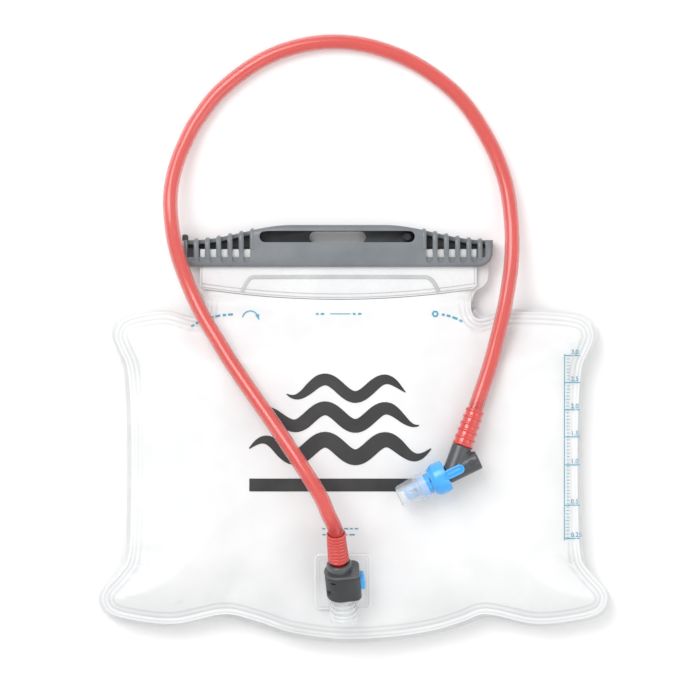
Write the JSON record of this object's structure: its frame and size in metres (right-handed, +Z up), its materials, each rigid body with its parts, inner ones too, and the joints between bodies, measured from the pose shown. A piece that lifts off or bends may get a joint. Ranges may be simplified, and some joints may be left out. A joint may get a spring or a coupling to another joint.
{
  "type": "hydration bladder",
  "caption": "Wide gusseted water reservoir of frosted film with a slide-on closure bar, push-button hose connector, red drink tube and twist-lock bite valve.",
  "frame": {"origin": "middle of the bag's footprint at the underside of its back panel, without the drink tube and bite valve", "axes": "+X across the bag, +Y from the hem to the closure bar, +Z up out of the front film as the bag lies on its back"},
  "size_m": [0.3, 0.3599, 0.0707],
  "materials": {
    "film": "frosted, translucent",
    "clear_plastic": "clear",
    "grey_plastic": "satin",
    "dark_plastic": "satin",
    "seal_rubber": "matt",
    "blue_plastic": "satin",
    "blue_clear": "translucent",
    "spring_steel": "drawn wire",
    "red_tube": "translucent, glossy",
    "silicone": "clear, soft"
  },
  "bodies": {
    "reservoir": {"front_panel": "film", "back_panel": "film", "left_gusset": "film", "right_gusset": "film", "bottom_gusset": "film", "front_mouth_plate": "clear_plastic", "back_mouth_plate": "clear_plastic", "port_patch": "clear_plastic", "port_base": "clear_plastic", "spigot_o_ring": "seal_rubber", "shutoff_spring": "spring_steel"},
    "slide_bar": {"slide_bar": "grey_plastic", "hanger_plate": "dark_plastic"},
    "shutoff_plunger": {"shutoff_plunger": "blue_plastic", "plunger_seal": "seal_rubber"},
    "coupler": {"connector_housing": "dark_plastic", "tube_collar": "dark_plastic", "button_spring": "spring_steel", "drink_tube": "red_tube", "lower_cuff": "red_tube", "upper_cuff": "red_tube", "elbow": "dark_plastic", "elbow_o_ring": "seal_rubber"},
    "release_button": {"release_button": "blue_plastic", "latch_plate": "blue_plastic"},
    "valve_head": {"twist_ring": "blue_plastic", "valve_barrel": "blue_clear", "bite_core": "blue_plastic"},
    "bite_sleeve": {"bite_sleeve": "silicone"}
  },
  "joints": [
    {"name": "bar_slide", "type": "slide", "parent": "reservoir", "child": "slide_bar", "axis": [-1, 0, 0], "range_m": [0, 0.18]},
    {"name": "coupler_unplug", "type": "slide", "parent": "reservoir", "child": "coupler", "axis": [-0.0848, 0.8344, 0.5446], "range_m": [0, 0.018]},
    {"name": "plunger_close", "type": "slide", "parent": "reservoir", "child": "shutoff_plunger", "axis": [-0.0848, 0.8344, 0.5446], "range_m": [0, 0.003]},
    {"name": "button_press", "type": "slide", "parent": "coupler", "child": "release_button", "axis": [-0.9949, -0.1011, 0], "range_m": [0, 0.002], "stiffness_N_per_m": 400, "springref_m": -0.001, "deforming": ["button_spring"]},
    {"name": "valve_twist", "type": "hinge", "parent": "coupler", "child": "valve_head", "pos_m": [0.0576, -0.0229, 0.05], "axis": [0.9003, 0.4352, 0], "range_deg": [0, 90]},
    {"name": "sleeve_pull", "type": "slide", "parent": "valve_head", "child": "bite_sleeve", "axis": [-0.9003, -0.4352, 0], "range_m": [0, 0.016]}
  ],
  "couplings": [
    {"joint": "plunger_close", "follows": "coupler_unplug", "ratio": 0.1666}
  ]
}
